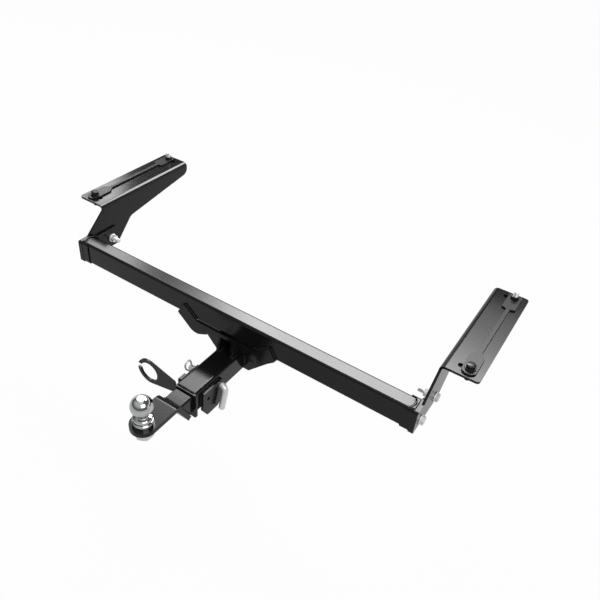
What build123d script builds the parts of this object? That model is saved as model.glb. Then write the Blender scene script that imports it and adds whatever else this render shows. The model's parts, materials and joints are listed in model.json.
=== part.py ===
from build123d import *

import math
import os

# Trailer hitch: a cross beam with a bolted bracket at each end for the vehicle's rails,
# a square receiver hung under its middle, and a pinned ball mount with a coupling ball.
# Millimetres. X runs along the beam, +Y towards the vehicle's front, +Z up.
# The origin is the centre of the coupling ball.

# Coupling ball
BALL_D = 50.0
BALL_FLAT_D = 18.0
NECK_D = 27.0
COLLAR_D = 43.0
COLLAR_H = 8.0
GROOVE_D = 35.0
BASE_D = 48.0
BASE_H = 13.0
BALL_RISE = 53.0
STEM_D = 22.0
STEM_PROUD = 6.0
BALL_NUT_AF = 38.0
BALL_NUT_H = 20.0
BALL_WASHER_D = 42.0
BALL_WASHER_T = 5.0

# Bent ball plate
STRIP_W = 62.0
STRIP_T = 12.0
STRIP_BEND_R = 9.0
STRIP_EDGE_R = 1.0
LEG_TURN = 60.0

# Tongue bar, a square tube cut on the slant at its front end
BAR_SIDE = 50.0
BAR_WALL = 6.0
BAR_CORNER_R = 4.0
BAR_DROP = 16.5
BAR_SETBACK = 90.0
BAR_LENGTH = 204.0

# Receiver
RECEIVER_PLAY = 1.0
RECEIVER_WALL = 4.5
RECEIVER_CORNER_R = 7.0
RECEIVER_INNER_R = 2.5
RECEIVER_LENGTH = 187.0
MOUTH_Y = 137.0

# Cross beam
BEAM_H = 60.0
BEAM_D = 40.0
BEAM_WALL = 3.5
BEAM_CORNER_R = 6.0
BEAM_INNER_R = 2.0
BEAM_LENGTH = 952.0
BEAM_GAP = 64.0

# End caps and end plates
CAP_WALL = 2.6
CAP_FIT = 0.2
CAP_SKIRT = 18.0
CAP_ARC_R = 20.5
CAP_ARC_SHIFT = 2.0
CAP_ARC_REACH = 1.5
END_PLATE_T = 6.0
END_PLATE_REACH = 88.0
END_PLATE_DROP = 8.0
END_PLATE_STEP = 10.0
END_PLATE_R = 12.0
END_PLATE_MARGIN = 3.5

# Side brackets: a web beside the end plate, turned outboard at its top into a flange
BRACKET_T = 6.0
BRACKET_BEND_R = 6.0
FLANGE_W = 85.0
FLANGE_LENGTH = 340.0
FLANGE_SETBACK = 66.0
FLANGE_RISE = 97.0
FLANGE_CORNER_R = 8.0
ARM_TIP_DEPTH = 33.0
ARM_ROOT_DEPTH = 73.0
ARM_ROOT_REACH = 98.0
ARM_ROOT_R = 25.0
ARM_TIP_R = 18.0
FOOT_NECK = 7.0
FOOT_BACK = 111.0
FOOT_R = 18.0
SLOT_LENGTH = 38.0
SLOT_INSET = 48.0
BOLT_INSET = 55.0

# Insert plates on the flanges
INSERT_T = 4.0
PAD_W = 32.0
STRIP_NECK_W = 9.0
FRONT_PAD_LENGTH = 78.0
REAR_PAD_LENGTH = 66.0
PAD_R = 6.0
FRONT_BOLT_Y = 26.0
REAR_STUD_INSET = 21.0
FRONT_PAD_END = 20.0
REAR_PAD_END = 15.0
SHOULDER_TAPER = 16.0

# M12 fasteners
BOLT_D = 12.0
THREAD_PITCH_D = 10.9
THREAD_CHAMFER = 1.2
BOLT_HOLE_D = 13.0
HEAD_AF = 18.0
HEAD_H = 7.5
NUT_AF = 18.0
NUT_H = 10.0
THIN_NUT_H = 6.0
WASHER_D = 24.0
WASHER_T = 2.5
THREAD_PROUD = 9.0
SIDE_THREAD_PROUD = 14.0
STUD_PROUD = 19.0
SIDE_BOLT_FRONT_Y = 7.0
SIDE_BOLT_REAR_Y = 82.0
SIDE_BOLT_FRONT_Z = -12.0
SIDE_BOLT_REAR_Z = -7.5

# Plates that carry the receiver
PLATE_T = 6.0
REAR_PLATE_T = 8.0
REAR_PLATE_HALF_W = 165.0
REAR_PLATE_LAP = 40.0
REAR_PLATE_FOOT = 43.0
REAR_PLATE_BELOW = 2.0
REAR_PLATE_CORNER_R = 6.0
WING_SPAN = 146.0
WING_EAR_X = 127.0
WING_EAR_LAP = 32.0
WING_NOTCH_X = 87.0
WING_NOTCH_DROP = 1.0
WING_DROP = 45.0
WING_LOBE_X = 93.0
WING_ARCH_X = 55.0
WING_ARCH_DROP = 11.0
WING_LOBE_R = 30.0
WING_CORNER_R = 4.0

# Socket plate with its split ring
SOCKET_T = 5.0
SOCKET_HOLE_D = 51.0
SOCKET_RING_W = 9.5
SOCKET_X = -109.5
SOCKET_RISE = 22.0
SOCKET_GAP = 14.0
SOCKET_GAP_RISE = 5.0
SOCKET_BELOW = 13.0
SOCKET_LEFT_LIP = 6.0
SOCKET_RIGHT_LIP = 4.0
SOCKET_CORNER_R = 6.0

# Side lugs on the receiver
LUG_T = 8.0
LUG_FRONT = 16.0
LUG_LENGTH = 85.0
LUG_TOP_DROP = 12.0
LUG_BELOW = 30.0
LUG_HOLE_D = 10.0
LUG_CORNER_R = 5.0
LUG_HOLE_Y = 35.0
LUG_HOLE_DROP = 37.0
LUG_EAR_L = 24.0
LUG_EAR_DROP = 3.0

# Hitch pin and its spring clip
PIN_D = 16.0
PIN_FIT = 0.1
PIN_INSET = 83.0
PIN_LEFT_PROUD = 22.0
PIN_BEND_R = 14.0
PIN_DROP = 62.0
PIN_LEAN = 15.0
CLIP_D = 4.5
CLIP_FIT = 0.1
CLIP_GAP = 10.0
CLIP_LEAN = 14.3
CLIP_TAIL = 14.0
CLIP_LOOP_R = 10.0
CLIP_REACH = 21.3
CLIP_SIDE_GAP = 0.4

# Heights
PLATE_TOP_Z = -BALL_RISE
BAR_TOP_Z = PLATE_TOP_Z - BAR_DROP
BAR_BOTTOM_Z = BAR_TOP_Z - BAR_SIDE
RECEIVER_INNER = BAR_SIDE + RECEIVER_PLAY
RECEIVER_SIDE = RECEIVER_INNER + 2 * RECEIVER_WALL
RECEIVER_Z = BAR_BOTTOM_Z + RECEIVER_INNER / 2
RECEIVER_TOP_Z = RECEIVER_Z + RECEIVER_SIDE / 2
RECEIVER_BOTTOM_Z = RECEIVER_Z - RECEIVER_SIDE / 2
BEAM_BOTTOM_Z = RECEIVER_TOP_Z + BEAM_GAP
BEAM_Z = BEAM_BOTTOM_Z + BEAM_H / 2
FLANGE_TOP_Z = BEAM_Z + FLANGE_RISE
FLANGE_BOTTOM_Z = FLANGE_TOP_Z - BRACKET_T

# Places along Y
RECEIVER_BACK_Y = MOUTH_Y + RECEIVER_LENGTH
BEAM_BACK_Y = RECEIVER_BACK_Y
BEAM_FRONT_Y = BEAM_BACK_Y - BEAM_D
BEAM_Y = BEAM_BACK_Y - BEAM_D / 2
FLANGE_FRONT_Y = BEAM_Y + FLANGE_SETBACK
FLANGE_BACK_Y = FLANGE_FRONT_Y + FLANGE_LENGTH
REAR_STUD_Y = FLANGE_LENGTH - REAR_STUD_INSET
PIN_Y = MOUTH_Y + PIN_INSET
PIN_Z = RECEIVER_Z

# Places along X on the right-hand side
CAP_END_X = BEAM_LENGTH / 2 + CAP_WALL
END_PLATE_X = CAP_END_X + END_PLATE_T
WEB_X = END_PLATE_X + BRACKET_T
FLANGE_EDGE_X = END_PLATE_X + FLANGE_W
BOLT_X = END_PLATE_X + BOLT_INSET
SLOT_X = END_PLATE_X + SLOT_INSET
LUG_X = RECEIVER_SIDE / 2 + LUG_T
CLIP_X = -(LUG_X + CLIP_GAP + CLIP_D / 2)

parts = {}


def plate_square_to_x(points, radii, x_low, x_high):
    """Plate between two X planes, with an outline of (y, z) corners."""
    outline = make_face(FilletPolyline(*points, radius=radii, close=True))
    return extrude(Plane.YZ.offset(x_low) * outline, x_high - x_low)


def plate_square_to_y(points, radii, y_low, y_high):
    """Plate between two Y planes, with an outline of (x, z) corners."""
    outline = make_face(FilletPolyline(*points, radius=radii, close=True))
    return extrude(Plane.XZ.offset(-y_high) * outline, y_high - y_low)


def plate_square_to_z(points, radii, z_low, z_high):
    """Plate between two Z planes, with an outline of (x, y) corners."""
    outline = make_face(FilletPolyline(*points, radius=radii, close=True))
    return extrude(Plane.XY.offset(z_low) * outline, z_high - z_low)


def along_x(x, y, z):
    """Plane whose normal points along +X from the given point."""
    return Plane(origin=(x, y, z), x_dir=(0, 1, 0), z_dir=(1, 0, 0))


def along_z(x, y, z):
    """Plane whose normal points along +Z from the given point."""
    return Plane(origin=(x, y, z), x_dir=(1, 0, 0), z_dir=(0, 0, 1))


def rod(plane, diameter, low, high):
    """Cylinder along a plane's normal, from low to high."""
    return extrude(plane.offset(low) * Circle(diameter / 2), high - low)


def threaded_rod(plane, diameter, low, high, chamfer_low=True, chamfer_high=False):
    """Cylinder along a plane's normal whose free ends are turned down like a screw's."""
    points = [(0, low), (diameter / 2, low), (diameter / 2, high), (0, high)]
    if chamfer_high:
        points[2:3] = [(diameter / 2, high - THREAD_CHAMFER), (diameter / 2 - THREAD_CHAMFER, high)]
    if chamfer_low:
        points[1:2] = [(diameter / 2 - THREAD_CHAMFER, low), (diameter / 2, low + THREAD_CHAMFER)]
    return plane.location * revolve(Plane.XZ * make_face(Polyline(*points, close=True)), Axis.Z)


def hexagon(plane, across_flats, low, high, chamfer_top=True, chamfer_bottom=False):
    """Hexagonal head or nut along a plane's normal, its corners turned off at 30 degrees."""
    corner_r = across_flats / math.sqrt(3)
    body = extrude(plane.offset(low) * RegularPolygon(corner_r, 6, rotation=30), high - low)
    drop = (corner_r - across_flats / 2) * math.tan(math.radians(30))
    points = [(0, low), (corner_r, low), (corner_r, high), (0, high)]
    if chamfer_top:
        points[2:3] = [(corner_r, high - drop), (across_flats / 2, high)]
    if chamfer_bottom:
        points[1:2] = [(across_flats / 2, low), (corner_r, low + drop)]
    turned = revolve(Plane.XZ * make_face(Polyline(*points, close=True)), Axis.Z)
    return body & (plane.location * turned)


def washer(plane, outer, hole, low, high):
    """Flat ring along a plane's normal."""
    return extrude(plane.offset(low) * (Circle(outer / 2) - Circle(hole / 2)), high - low)


def square_tube(plane, width, height, wall, outer_r, inner_r, length):
    """Rectangular tube along a plane's normal."""
    outer = RectangleRounded(width, height, outer_r)
    inner = RectangleRounded(width - 2 * wall, height - 2 * wall, inner_r)
    return extrude(plane * (outer - inner), length)


def keep(name, shape):
    """File a solid, or a group of solids, under its node name."""
    parts[name] = shape


def keep_pair(name, right):
    """File a right-hand solid and its mirror image as two nodes."""
    keep("right_" + name, right)
    keep("left_" + name, mirror(right, Plane.YZ))


# Coupling ball: sphere, neck, dust collar, base flange and threaded stem in one turning
def coupling_ball():
    ball_r = BALL_D / 2
    flat_z = math.sqrt(ball_r**2 - (BALL_FLAT_D / 2) ** 2)
    neck_z = -math.sqrt(ball_r**2 - (NECK_D / 2) ** 2)
    base_top = PLATE_TOP_Z + BASE_H
    collar_bottom = base_top + BASE_H / 4
    collar_top = collar_bottom + COLLAR_H
    stem_end = PLATE_TOP_Z - STRIP_T - BALL_WASHER_T - BALL_NUT_H - STEM_PROUD
    with BuildSketch(Plane.XZ) as section:
        with BuildLine():
            Line((0, flat_z), (BALL_FLAT_D / 2, flat_z))
            ThreePointArc((BALL_FLAT_D / 2, flat_z), (ball_r, 0), (NECK_D / 2, neck_z))
            Polyline(
                (NECK_D / 2, neck_z),
                (NECK_D / 2, collar_top + (COLLAR_D - NECK_D) / 8),
                (COLLAR_D / 2 - COLLAR_H / 4, collar_top),
                (COLLAR_D / 2, collar_top - COLLAR_H / 4),
                (COLLAR_D / 2, collar_bottom),
                (GROOVE_D / 2, collar_bottom),
                (GROOVE_D / 2, base_top),
                (BASE_D / 2 - BASE_H / 6, base_top),
                (BASE_D / 2, base_top - BASE_H / 6),
                (BASE_D / 2, PLATE_TOP_Z),
                (STEM_D / 2, PLATE_TOP_Z),
                (STEM_D / 2, stem_end + 1.5),
                (STEM_D / 2 - 1.5, stem_end),
                (0, stem_end),
                (0, flat_z),
            )
        make_face()
    return revolve(section.sketch, Axis.Z)


# Ball plate: a thick strip, round at the ball and bent down and back to meet the tongue bar
def strip_section():
    outer_r = STRIP_BEND_R + STRIP_T
    turn = math.radians(LEG_TURN)
    corner_y = BAR_SETBACK + BAR_DROP / math.tan(turn) * -1
    run_y = math.cos(turn)
    run_z = -math.sin(turn)
    # The leg's back face runs down the slanted end of the bar, to the bar's lower edge
    back_length = (BAR_DROP + BAR_SIDE) / math.sin(turn)
    end_back = (corner_y + back_length * run_y, PLATE_TOP_Z + back_length * run_z)
    end_front = (end_back[0] + STRIP_T * run_z, end_back[1] - STRIP_T * run_y)
    inner_y = corner_y - STRIP_T * math.tan(turn / 2)
    bottom_z = PLATE_TOP_Z - STRIP_T
    front_y = -STRIP_W / 2
    points = [
        (front_y, PLATE_TOP_Z),
        (corner_y, PLATE_TOP_Z),
        end_back,
        end_front,
        (inner_y, bottom_z),
        (front_y, bottom_z),
    ]
    return points, [0, outer_r, STRIP_EDGE_R, STRIP_EDGE_R, STRIP_BEND_R, 0]


def ball_plate():
    points, radii = strip_section()
    bent = plate_square_to_x(points, radii, -STRIP_W / 2, STRIP_W / 2)
    last_y = max(y for y, z in points)
    low_z = min(z for y, z in points)
    plan = make_face(
        Polyline((-STRIP_W / 2, 0), (-STRIP_W / 2, last_y), (STRIP_W / 2, last_y), (STRIP_W / 2, 0))
        + ThreePointArc((STRIP_W / 2, 0), (0, -STRIP_W / 2), (-STRIP_W / 2, 0))
    )
    bent = bent & extrude(Plane.XY.offset(low_z) * plan, PLATE_TOP_Z - low_z)
    return bent - rod(along_z(0, 0, PLATE_TOP_Z), STEM_D, -STRIP_T, 0)


# Tongue bar: its front end is cut along the leg's back face, and the pin goes through its sides
def tongue_bar():
    bar_end = BAR_SETBACK + BAR_LENGTH
    centre_z = BAR_TOP_Z - BAR_SIDE / 2
    plane = Plane(origin=(0, bar_end, centre_z), x_dir=(1, 0, 0), z_dir=(0, -1, 0))
    bar = square_tube(plane, BAR_SIDE, BAR_SIDE, BAR_WALL, BAR_CORNER_R, BAR_CORNER_R / 2, BAR_LENGTH)
    slant = BAR_SIDE / math.tan(math.radians(LEG_TURN))
    waste = [(BAR_SETBACK, BAR_TOP_Z), (BAR_SETBACK + slant, BAR_BOTTOM_Z), (BAR_SETBACK, BAR_BOTTOM_Z)]
    bar -= plate_square_to_x(waste, 0, -BAR_SIDE, BAR_SIDE)
    return bar - rod(along_x(0, PIN_Y, PIN_Z), PIN_D + 2 * PIN_FIT, -BAR_SIDE, BAR_SIDE)


# Receiver: the square tube that the tongue bar slides into
def receiver_tube():
    plane = Plane(origin=(0, RECEIVER_BACK_Y, RECEIVER_Z), x_dir=(1, 0, 0), z_dir=(0, -1, 0))
    tube = square_tube(
        plane, RECEIVER_SIDE, RECEIVER_SIDE, RECEIVER_WALL,
        RECEIVER_CORNER_R, RECEIVER_INNER_R, RECEIVER_LENGTH,
    )
    pin_hole = PIN_D + 2 * PIN_FIT
    return tube - rod(along_x(0, PIN_Y, PIN_Z), pin_hole, -RECEIVER_SIDE, RECEIVER_SIDE)


# Side lug: welded to the receiver's side, doubles the wall at the pin and hangs below it
def side_lug():
    front = MOUTH_Y + LUG_FRONT
    back = front + LUG_LENGTH
    top = RECEIVER_TOP_Z - LUG_TOP_DROP
    bottom = RECEIVER_BOTTOM_Z - LUG_BELOW
    points = [
        (front, top),
        (back - LUG_LENGTH / 6, top),
        (back, top - LUG_LENGTH / 5),
        (back, RECEIVER_BOTTOM_Z - LUG_BELOW / 9),
        (back - LUG_BELOW, bottom),
        (front + LUG_BELOW / 2, bottom),
        (front, RECEIVER_BOTTOM_Z - LUG_BELOW / 5),
    ]
    lug = plate_square_to_x(points, LUG_CORNER_R, RECEIVER_SIDE / 2, LUG_X)
    lug -= rod(along_x(0, PIN_Y, PIN_Z), PIN_D + 2 * PIN_FIT, RECEIVER_SIDE / 2, LUG_X)
    hole = along_x(0, MOUTH_Y + LUG_HOLE_Y, RECEIVER_TOP_Z - LUG_HOLE_DROP)
    return lug - rod(hole, LUG_HOLE_D, RECEIVER_SIDE / 2, LUG_X)


# The left lug also has a small ear that stands up at the mouth
def left_lug():
    front = MOUTH_Y + LUG_FRONT
    foot = RECEIVER_TOP_Z - LUG_TOP_DROP - LUG_EAR_DROP
    top = RECEIVER_TOP_Z - LUG_EAR_DROP
    outline = [(front, foot), (front, top), (front + LUG_EAR_L, top), (front + LUG_EAR_L, foot)]
    ear = plate_square_to_x(outline, [0, LUG_CORNER_R / 2, LUG_CORNER_R / 2, 0], -LUG_X, -RECEIVER_SIDE / 2)
    return mirror(side_lug(), Plane.YZ) + ear


# Socket plate: a collar round the receiver's mouth with an arm and a split ring for the socket
def socket_plate():
    ring_r = SOCKET_HOLE_D / 2 + SOCKET_RING_W
    ring_z = RECEIVER_Z + SOCKET_RISE
    half = RECEIVER_SIDE / 2
    bottom = RECEIVER_BOTTOM_Z - SOCKET_BELOW
    collar = [
        (-half - SOCKET_LEFT_LIP, RECEIVER_TOP_Z),
        (half + SOCKET_RIGHT_LIP, RECEIVER_TOP_Z),
        (half + SOCKET_RIGHT_LIP, bottom),
        (-half - SOCKET_LEFT_LIP, bottom),
    ]
    top_tangent = math.radians(75)
    low_tangent = math.radians(-76.4)
    arm = [
        (-half, RECEIVER_TOP_Z + SOCKET_LEFT_LIP),
        (SOCKET_X + ring_r * math.cos(top_tangent), ring_z + ring_r * math.sin(top_tangent)),
        (SOCKET_X + ring_r * math.cos(low_tangent), ring_z + ring_r * math.sin(low_tangent)),
        (-half, RECEIVER_Z + SOCKET_RIGHT_LIP),
    ]
    collar_radii = [SOCKET_CORNER_R / 3, SOCKET_CORNER_R / 2, SOCKET_CORNER_R, SOCKET_CORNER_R]
    face = make_face(FilletPolyline(*collar, radius=collar_radii, close=True))
    face += make_face(Polyline(*arm, close=True))
    face += Pos(SOCKET_X, ring_z) * Circle(ring_r)
    face -= Pos(SOCKET_X, ring_z) * Circle(SOCKET_HOLE_D / 2)
    face -= Pos(SOCKET_X - ring_r, ring_z + SOCKET_GAP_RISE) * Rectangle(ring_r, SOCKET_GAP)
    face -= Pos(0, RECEIVER_Z) * RectangleRounded(RECEIVER_INNER, RECEIVER_INNER, RECEIVER_INNER_R)
    return extrude(Plane.XZ.offset(-MOUTH_Y) * face, SOCKET_T)


# Cross beam: a plain rectangular tube
def cross_beam():
    plane = along_x(-BEAM_LENGTH / 2, BEAM_Y, BEAM_Z)
    return square_tube(plane, BEAM_D, BEAM_H, BEAM_WALL, BEAM_CORNER_R, BEAM_INNER_R, BEAM_LENGTH)


# End cap: a pressed cup over the beam's end
def end_cap():
    grow = 2 * (CAP_WALL + CAP_FIT)
    plane = along_x(BEAM_LENGTH / 2 - CAP_SKIRT, BEAM_Y, BEAM_Z)
    outer_r = BEAM_CORNER_R + grow / 2
    cup = extrude(plane * RectangleRounded(BEAM_D + grow, BEAM_H + grow, outer_r), CAP_SKIRT + CAP_WALL)
    hollow = RectangleRounded(BEAM_D + 2 * CAP_FIT, BEAM_H + 2 * CAP_FIT, BEAM_CORNER_R + CAP_FIT)
    cup -= extrude(plane * hollow, CAP_SKIRT)
    # A half-round notch in the skirt's top leaves the beam's end open for the weld
    top_z = BEAM_Z + BEAM_H / 2
    arc_x = BEAM_LENGTH / 2 + CAP_ARC_REACH - CAP_ARC_R
    arc = along_z(arc_x, BEAM_Y - CAP_ARC_SHIFT, top_z)
    cup -= rod(arc, 2 * CAP_ARC_R, -BEAM_CORNER_R, BEAM_CORNER_R)
    hole = along_x(0, BEAM_Y + SIDE_BOLT_FRONT_Y, BEAM_Z + SIDE_BOLT_FRONT_Z)
    return cup - rod(hole, BOLT_HOLE_D, BEAM_LENGTH / 2, CAP_END_X)


def side_bolt_holes(x_low, x_high):
    """Cutters for the two bolts that join web and end plate."""
    front = along_x(0, BEAM_Y + SIDE_BOLT_FRONT_Y, BEAM_Z + SIDE_BOLT_FRONT_Z)
    rear = along_x(0, BEAM_Y + SIDE_BOLT_REAR_Y, BEAM_Z + SIDE_BOLT_REAR_Z)
    return [rod(plane, BOLT_HOLE_D, x_low, x_high) for plane in (front, rear)]


# End plate: welded to the cap and reaching back behind the beam to take the web
def end_plate():
    back = BEAM_BACK_Y + END_PLATE_REACH
    top = BEAM_Z + BEAM_H / 2
    front = BEAM_FRONT_Y - END_PLATE_MARGIN
    bottom = BEAM_BOTTOM_Z - END_PLATE_MARGIN
    points = [
        (front, bottom),
        (front, top),
        (BEAM_BACK_Y + END_PLATE_STEP / 5, top),
        (BEAM_BACK_Y + END_PLATE_STEP * 1.2, top - END_PLATE_DROP),
        (back, top - END_PLATE_DROP),
        (back, bottom),
    ]
    step_r = END_PLATE_R / 3
    radii = [BEAM_CORNER_R, BEAM_CORNER_R, step_r, step_r, END_PLATE_R, END_PLATE_R]
    plate = plate_square_to_x(points, radii, CAP_END_X, END_PLATE_X)
    for cutter in side_bolt_holes(CAP_END_X, END_PLATE_X):
        plate -= cutter
    return plate


# Side bracket: tapering web with a foot at the beam's end, and a slotted flange above it
def side_bracket():
    bend_outer = BRACKET_BEND_R + BRACKET_T
    web_top = FLANGE_TOP_Z - bend_outer - BRACKET_T / 3
    section = [
        (END_PLATE_X, web_top),
        (END_PLATE_X, FLANGE_TOP_Z),
        (FLANGE_EDGE_X, FLANGE_TOP_Z),
        (FLANGE_EDGE_X, FLANGE_BOTTOM_Z),
        (WEB_X, FLANGE_BOTTOM_Z),
        (WEB_X, web_top),
    ]
    radii = [0, bend_outer, 0, 0, BRACKET_BEND_R, 0]
    flange = plate_square_to_y(section, radii, FLANGE_FRONT_Y, FLANGE_BACK_Y)
    plan = [
        (END_PLATE_X, FLANGE_FRONT_Y),
        (FLANGE_EDGE_X, FLANGE_FRONT_Y),
        (FLANGE_EDGE_X, FLANGE_BACK_Y),
        (END_PLATE_X, FLANGE_BACK_Y),
    ]
    flange &= plate_square_to_z(plan, [0, FLANGE_CORNER_R, FLANGE_CORNER_R, 0], web_top, FLANGE_TOP_Z)
    for bolt_y in (FRONT_BOLT_Y, REAR_STUD_Y):
        slot = Pos(SLOT_X, FLANGE_FRONT_Y + bolt_y) * SlotOverall(SLOT_LENGTH, BOLT_HOLE_D)
        flange -= extrude(Plane.XY.offset(FLANGE_BOTTOM_Z) * slot, BRACKET_T)
    root_y = FLANGE_FRONT_Y + ARM_ROOT_REACH
    # The foot is flush with the end plate at its front, top and bottom
    foot_front = BEAM_FRONT_Y - END_PLATE_MARGIN
    foot_top = BEAM_Z + BEAM_H / 2
    foot_bottom = BEAM_BOTTOM_Z - END_PLATE_MARGIN
    outline = [
        (FLANGE_FRONT_Y, web_top),
        (BEAM_Y + FOOT_NECK, foot_top),
        (foot_front, foot_top),
        (foot_front, foot_bottom),
        (BEAM_Y + FOOT_BACK, foot_bottom),
        (root_y, FLANGE_TOP_Z - ARM_ROOT_DEPTH),
        (FLANGE_BACK_Y, FLANGE_TOP_Z - ARM_TIP_DEPTH),
        (FLANGE_BACK_Y, web_top),
    ]
    web_radii = [0, BRACKET_T, BEAM_CORNER_R, BEAM_CORNER_R, FOOT_R, ARM_ROOT_R, ARM_TIP_R, 0]
    web = plate_square_to_x(outline, web_radii, END_PLATE_X, WEB_X)
    for cutter in side_bolt_holes(END_PLATE_X, WEB_X):
        web -= cutter
    return web + flange


# Insert plate: two pads joined by a narrow neck, lying along the flange
def insert_plate():
    half = PAD_W / 2
    neck = STRIP_NECK_W / 2
    front = FLANGE_FRONT_Y + FRONT_BOLT_Y - FRONT_PAD_END
    back = FLANGE_FRONT_Y + REAR_STUD_Y + REAR_PAD_END
    front_end = front + FRONT_PAD_LENGTH
    rear_start = back - REAR_PAD_LENGTH
    right_edge = [
        (BOLT_X + half, front),
        (BOLT_X + half, front_end - SHOULDER_TAPER),
        (BOLT_X + neck, front_end),
        (BOLT_X + neck, rear_start),
        (BOLT_X + half, rear_start + SHOULDER_TAPER / 4),
        (BOLT_X + half, back),
    ]
    left_edge = [(2 * BOLT_X - x, y) for x, y in reversed(right_edge)]
    edge_radii = [half * 0.9, PAD_R, PAD_R, PAD_R / 2, PAD_R / 2, PAD_R]
    plate = plate_square_to_z(
        right_edge + left_edge, edge_radii + edge_radii[::-1], FLANGE_TOP_Z, FLANGE_TOP_Z + INSERT_T
    )
    for bolt_y in (FRONT_BOLT_Y, REAR_STUD_Y):
        hole = along_z(BOLT_X, FLANGE_FRONT_Y + bolt_y, FLANGE_TOP_Z)
        plate -= rod(hole, BOLT_D + 0.4, 0, INSERT_T)
    return plate


# Rear plate: closes the receiver's back end and laps the beam's rear face
def rear_plate():
    top = BEAM_BOTTOM_Z + REAR_PLATE_LAP
    bottom = RECEIVER_BOTTOM_Z - REAR_PLATE_BELOW
    right = [
        (REAR_PLATE_FOOT, bottom),
        (REAR_PLATE_HALF_W, BEAM_BOTTOM_Z),
        (REAR_PLATE_HALF_W, top),
    ]
    left = [(-x, z) for x, z in reversed(right)]
    half_radii = [REAR_PLATE_CORNER_R, REAR_PLATE_CORNER_R * 1.6, REAR_PLATE_CORNER_R]
    radii = half_radii + half_radii[::-1]
    return plate_square_to_y(right + left, radii, BEAM_BACK_Y, BEAM_BACK_Y + REAR_PLATE_T)


# Front plate: a wing-shaped plate on the beam's front face, arched over the receiver
def front_plate():
    base = BEAM_BOTTOM_Z
    right = [
        (WING_ARCH_X - WING_ARCH_DROP, base - WING_ARCH_DROP),
        (WING_ARCH_X, base - WING_DROP * 0.6),
        (WING_LOBE_X, base - WING_DROP),
        (WING_SPAN, base),
        (WING_EAR_X, base + WING_EAR_LAP),
        (WING_NOTCH_X, base - WING_NOTCH_DROP),
    ]
    left = [(-x, z) for x, z in reversed(right)]
    radii = [WING_CORNER_R, WING_CORNER_R, WING_LOBE_R, WING_CORNER_R, WING_CORNER_R, WING_CORNER_R]
    return plate_square_to_y(right + left, radii + radii[::-1], BEAM_FRONT_Y - PLATE_T, BEAM_FRONT_Y)


# Riser plate: stands on the receiver's top and carries the beam
def riser_plate():
    outer = RECEIVER_SIDE / 2 - RECEIVER_CORNER_R
    points = [
        (BEAM_FRONT_Y + BEAM_CORNER_R, BEAM_BOTTOM_Z),
        (BEAM_BACK_Y - BEAM_CORNER_R, BEAM_BOTTOM_Z),
        (BEAM_BACK_Y, RECEIVER_TOP_Z),
        (BEAM_FRONT_Y - BEAM_D / 4, RECEIVER_TOP_Z),
    ]
    return plate_square_to_x(points, 0, outer - PLATE_T, outer)


# Hitch pin: a rod bent down at its right end, cross-drilled at its left end for the clip
def clip_direction():
    lean = math.radians(CLIP_LEAN)
    return (0, -math.sin(lean), math.cos(lean))


def hitch_pin():
    left = -(LUG_X + PIN_LEFT_PROUD)
    elbow = LUG_X + PIN_BEND_R
    lean = math.radians(PIN_LEAN)
    tip = (elbow, PIN_Y - PIN_DROP * math.sin(lean), PIN_Z - PIN_DROP * math.cos(lean))
    path = FilletPolyline((left, PIN_Y, PIN_Z), (elbow, PIN_Y, PIN_Z), tip, radius=PIN_BEND_R)
    shank = sweep(along_x(left, PIN_Y, PIN_Z) * Circle(PIN_D / 2), path=path)
    ends = shank.faces().filter_by(GeomType.PLANE)
    shank = chamfer([face.edges()[0] for face in ends], PIN_D / 8)
    cross = Plane(origin=(CLIP_X, PIN_Y, PIN_Z), x_dir=(1, 0, 0), z_dir=clip_direction())
    return shank - rod(cross, CLIP_D + 2 * CLIP_FIT, -PIN_D, PIN_D)


# Spring clip: one leg through the pin, a loop, and a waved leg that lies against the pin's side
def pin_clip():
    side = PIN_D / 2 + CLIP_D / 2 + CLIP_SIDE_GAP
    loop_top = CLIP_REACH + 2 * CLIP_LOOP_R
    width = 2 * CLIP_LOOP_R
    start = PIN_D / 2 + CLIP_TAIL
    points = [
        (0, -start),
        (0, loop_top),
        (width, loop_top),
        (width, CLIP_REACH),
        (side, PIN_D / 4),
        (side + CLIP_D, -PIN_D / 2 - CLIP_D),
    ]
    lean = math.radians(CLIP_LEAN)
    across = (0, -math.cos(lean), -math.sin(lean))
    plane = Plane(origin=(CLIP_X, PIN_Y, PIN_Z), x_dir=across, z_dir=(-1, 0, 0))
    radii = [CLIP_LOOP_R - 0.1, CLIP_LOOP_R - 0.1, 3 * CLIP_D, 2 * CLIP_D]
    path = plane * FilletPolyline(*points, radius=radii)
    section = Plane(origin=path @ 0, z_dir=path % 0) * Circle(CLIP_D / 2)
    return sweep(section, path=path)


# Bolts through each web and end plate, with their washers and nuts
def side_fasteners():
    front = along_x(0, BEAM_Y + SIDE_BOLT_FRONT_Y, BEAM_Z + SIDE_BOLT_FRONT_Z)
    rear = along_x(0, BEAM_Y + SIDE_BOLT_REAR_Y, BEAM_Z + SIDE_BOLT_REAR_Z)
    head_low = WEB_X + WASHER_T
    bolts, washers, nuts = [], [], []
    for plane, seat in ((front, BEAM_LENGTH / 2), (rear, CAP_END_X - WASHER_T)):
        end = seat - NUT_H - SIDE_THREAD_PROUD
        bolt = threaded_rod(plane, BOLT_D, end, head_low)
        bolts.append(bolt + hexagon(plane, HEAD_AF, head_low, head_low + HEAD_H))
        washers.append(washer(plane, WASHER_D, BOLT_HOLE_D, WEB_X, head_low))
        nut = hexagon(plane, NUT_AF, seat - NUT_H, seat, chamfer_bottom=True)
        nuts.append(nut - rod(plane, BOLT_D, seat - NUT_H, seat))
    washers.append(washer(rear, WASHER_D, BOLT_HOLE_D, CAP_END_X - WASHER_T, CAP_END_X))
    return bolts, washers, nuts


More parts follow.
